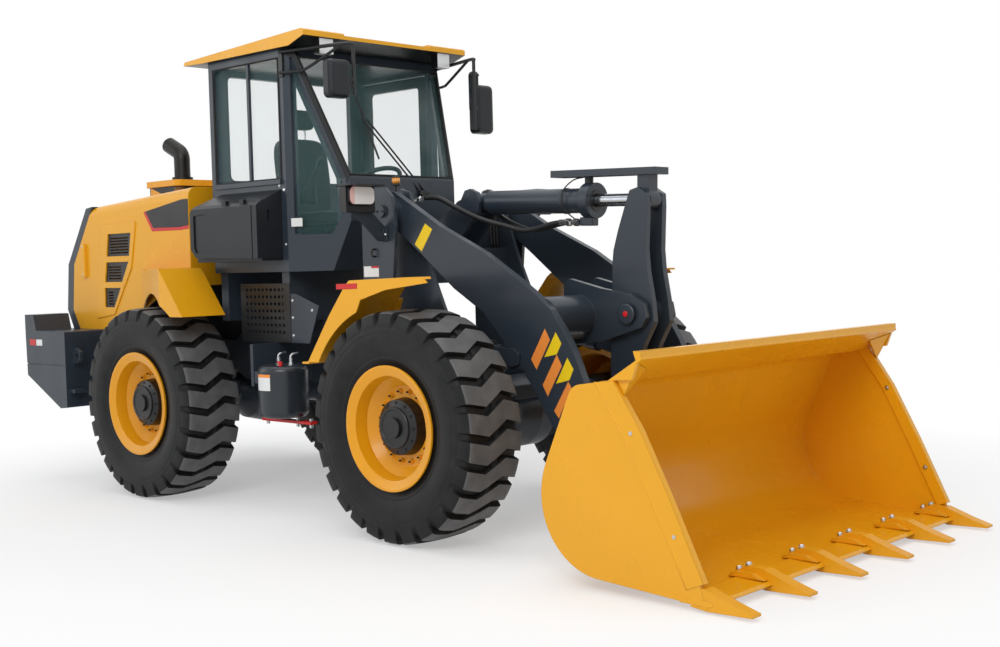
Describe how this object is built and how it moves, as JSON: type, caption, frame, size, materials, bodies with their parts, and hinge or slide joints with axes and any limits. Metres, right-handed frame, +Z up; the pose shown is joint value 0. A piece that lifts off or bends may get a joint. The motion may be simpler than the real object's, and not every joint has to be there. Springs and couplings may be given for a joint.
{
  "type": "wheel loader",
  "caption": "Articulated wheel loader with a toothed bucket on a bellcrank linkage, hinged frame, glazed cab, rear engine hood and lugged tyres.",
  "frame": {"origin": "on the ground under the middle of the machine's overall box", "axes": "+X forward, towards the bucket; +Y to the machine's left; +Z up"},
  "size_m": [6.717, 2.5, 3.14],
  "materials": {
    "slate_paint": "satin dark slate paint",
    "yellow_paint": "gloss yellow-orange paint",
    "rim_paint": "yellow-orange paint with a black hub",
    "tyre_rubber": "black rubber",
    "cab_glass": "pale green tinted glass",
    "rod_chrome": "polished chrome",
    "black_paint": "satin black paint",
    "cast_metal": "painted casting",
    "dark_plastic": "moulded dark plastic",
    "seat_fabric": "woven seat cloth",
    "tank_paint": "dark grey paint"
  },
  "bodies": {
    "rear_body": {"rear_frame": "slate_paint", "counterweight": "slate_paint", "engine_hood": "yellow_paint", "side_louvres": "black_paint", "rear_grille": "slate_paint", "engine_block": "cast_metal", "transmission": "slate_paint", "exhaust": "black_paint", "rear_axle": "slate_paint", "rear_fenders": "yellow_paint", "cab_frame": "slate_paint", "cab_roof": "yellow_paint", "windscreen": "cab_glass", "quarter_glass": "cab_glass", "side_glass": "cab_glass", "rear_glass": "cab_glass", "seat": "seat_fabric", "steering_column": "dark_plastic", "lever_console": "dark_plastic", "battery_box": "dark_plastic", "left_platform": "slate_paint", "ladder": "black_paint", "air_tank": "tank_paint", "tank_saddle": "slate_paint", "mirrors": "black_paint"},
    "front_body": {"front_frame": "slate_paint", "front_axle": "slate_paint", "front_fenders": "yellow_paint", "head_lamps": "slate_paint"},
    "boom": {"boom": "slate_paint"},
    "crank": {"crank": "slate_paint"},
    "link": {"bucket_link": "slate_paint"},
    "bucket": {"bucket": "yellow_paint", "bucket_teeth": "yellow_paint"},
    "tilt_barrel": {"tilt_barrel": "slate_paint"},
    "tilt_rod": {"tilt_rod": "rod_chrome"},
    "cab_door": {"cab_door": "black_paint", "door_glass": "cab_glass"},
    "lift_barrel_left": {"lift_barrel_left": "slate_paint"},
    "lift_rod_left": {"lift_rod_left": "rod_chrome"},
    "steer_barrel_left": {"steer_barrel_left": "slate_paint"},
    "steer_rod_left": {"steer_rod_left": "rod_chrome"},
    "wheel_front_left": {"tyre_front_left": "tyre_rubber", "rim_front_left": "rim_paint"},
    "wheel_rear_left": {"tyre_rear_left": "tyre_rubber", "rim_rear_left": "rim_paint"},
    "lift_barrel_right": {"lift_barrel_right": "slate_paint"},
    "lift_rod_right": {"lift_rod_right": "rod_chrome"},
    "steer_barrel_right": {"steer_barrel_right": "slate_paint"},
    "steer_rod_right": {"steer_rod_right": "rod_chrome"},
    "wheel_front_right": {"tyre_front_right": "tyre_rubber", "rim_front_right": "rim_paint"},
    "wheel_rear_right": {"tyre_rear_right": "tyre_rubber", "rim_rear_right": "rim_paint"}
  },
  "joints": [
    {"name": "articulation", "type": "hinge", "parent": "rear_body", "child": "front_body", "pos_m": [-0.4535, 0, 0.8], "axis": [0, 0, 1], "range_deg": [-35, 35]},
    {"name": "boom_lift", "type": "hinge", "parent": "front_body", "child": "boom", "pos_m": [0.2815, 0, 1.94], "axis": [0, -1, 0], "range_deg": [0, 90]},
    {"name": "bucket_tilt", "type": "hinge", "parent": "boom", "child": "bucket", "pos_m": [2.0275, 0, 0.375], "axis": [0, 1, 0], "range_deg": [-36, 135]},
    {"name": "crank_swing", "type": "hinge", "parent": "boom", "child": "crank", "pos_m": [1.8465, 0, 1.291], "axis": [0, -1, 0], "range_deg": [-7.2, 27]},
    {"name": "link_swing", "type": "hinge", "parent": "bucket", "child": "link", "pos_m": [2.1115, 0, 0.65], "axis": [0, 1, 0], "range_deg": [-67.5, 18]},
    {"name": "tilt_barrel_swing", "type": "hinge", "parent": "front_body", "child": "tilt_barrel", "pos_m": [0.5575, 0, 1.986], "axis": [0, -1, 0], "range_deg": [0, 101.96]},
    {"name": "tilt_rod_slide", "type": "slide", "parent": "tilt_barrel", "child": "tilt_rod", "axis": [0.9995, 0, -0.0329], "range_m": [-0.1621, 0.0433]},
    {"name": "cab_door_hinge", "type": "hinge", "parent": "rear_body", "child": "cab_door", "pos_m": [-1.3155, 0.705, 2.3], "axis": [0, 0, 1], "range_deg": [0, 90]},
    {"name": "lift_barrel_left_swing", "type": "hinge", "parent": "front_body", "child": "lift_barrel_left", "pos_m": [0.1515, 0.5, 1.23], "axis": [0, -1, 0], "range_deg": [0, 68.39]},
    {"name": "lift_rod_left_slide", "type": "slide", "parent": "lift_barrel_left", "child": "lift_rod_left", "axis": [0.9882, 0, -0.1533], "range_m": [0, 0.84355]},
    {"name": "steer_barrel_left_swing", "type": "hinge", "parent": "rear_body", "child": "steer_barrel_left", "pos_m": [-1.1285, 0.46, 0.74], "axis": [0, 0, 1], "range_deg": [-12.13, 12.13]},
    {"name": "steer_rod_left_slide", "type": "slide", "parent": "steer_barrel_left", "child": "steer_rod_left", "axis": [1, 0, 0], "range_m": [-0.27733, 0.27733]},
    {"name": "wheel_front_left_spin", "type": "hinge", "parent": "front_body", "child": "wheel_front_left", "pos_m": [0.8715, 0.925, 0.675], "axis": [0, 1, 0], "continuous": true},
    {"name": "wheel_rear_left_spin", "type": "hinge", "parent": "rear_body", "child": "wheel_rear_left", "pos_m": [-1.7785, 0.925, 0.675], "axis": [0, 1, 0], "continuous": true},
    {"name": "lift_barrel_right_swing", "type": "hinge", "parent": "front_body", "child": "lift_barrel_right", "pos_m": [0.1515, -0.5, 1.23], "axis": [0, -1, 0], "range_deg": [0, 68.39]},
    {"name": "lift_rod_right_slide", "type": "slide", "parent": "lift_barrel_right", "child": "lift_rod_right", "axis": [0.9882, 0, -0.1533], "range_m": [0, 0.84355]},
    {"name": "steer_barrel_right_swing", "type": "hinge", "parent": "rear_body", "child": "steer_barrel_right", "pos_m": [-1.1285, -0.46, 0.74], "axis": [0, 0, 1], "range_deg": [-12.13, 12.13]},
    {"name": "steer_rod_right_slide", "type": "slide", "parent": "steer_barrel_right", "child": "steer_rod_right", "axis": [1, 0, 0], "range_m": [-0.27733, 0.27733]},
    {"name": "wheel_front_right_spin", "type": "hinge", "parent": "front_body", "child": "wheel_front_right", "pos_m": [0.8715, -0.925, 0.675], "axis": [0, 1, 0], "continuous": true},
    {"name": "wheel_rear_right_spin", "type": "hinge", "parent": "rear_body", "child": "wheel_rear_right", "pos_m": [-1.7785, -0.925, 0.675], "axis": [0, 1, 0], "continuous": true}
  ],
  "couplings": [
    {"joint": "crank_swing", "follows": "bucket_tilt", "ratio": 0.2},
    {"joint": "link_swing", "follows": "bucket_tilt", "ratio": -0.5},
    {"joint": "tilt_barrel_swing", "follows": "boom_lift", "ratio": 1.1328},
    {"joint": "tilt_rod_slide", "follows": "bucket_tilt", "m_per_rad": -0.068755},
    {"joint": "lift_barrel_left_swing", "follows": "boom_lift", "ratio": 0.75973},
    {"joint": "lift_rod_left_slide", "follows": "boom_lift", "m_per_rad": 0.53696},
    {"joint": "steer_barrel_left_swing", "follows": "articulation", "ratio": 0.34637},
    {"joint": "steer_rod_left_slide", "follows": "articulation", "m_per_rad": -0.45383},
    {"joint": "lift_barrel_right_swing", "follows": "boom_lift", "ratio": 0.75973},
    {"joint": "lift_rod_right_slide", "follows": "boom_lift", "m_per_rad": 0.53696},
    {"joint": "steer_barrel_right_swing", "follows": "articulation", "ratio": 0.34637},
    {"joint": "steer_rod_right_slide", "follows": "articulation", "m_per_rad": 0.45383}
  ]
}
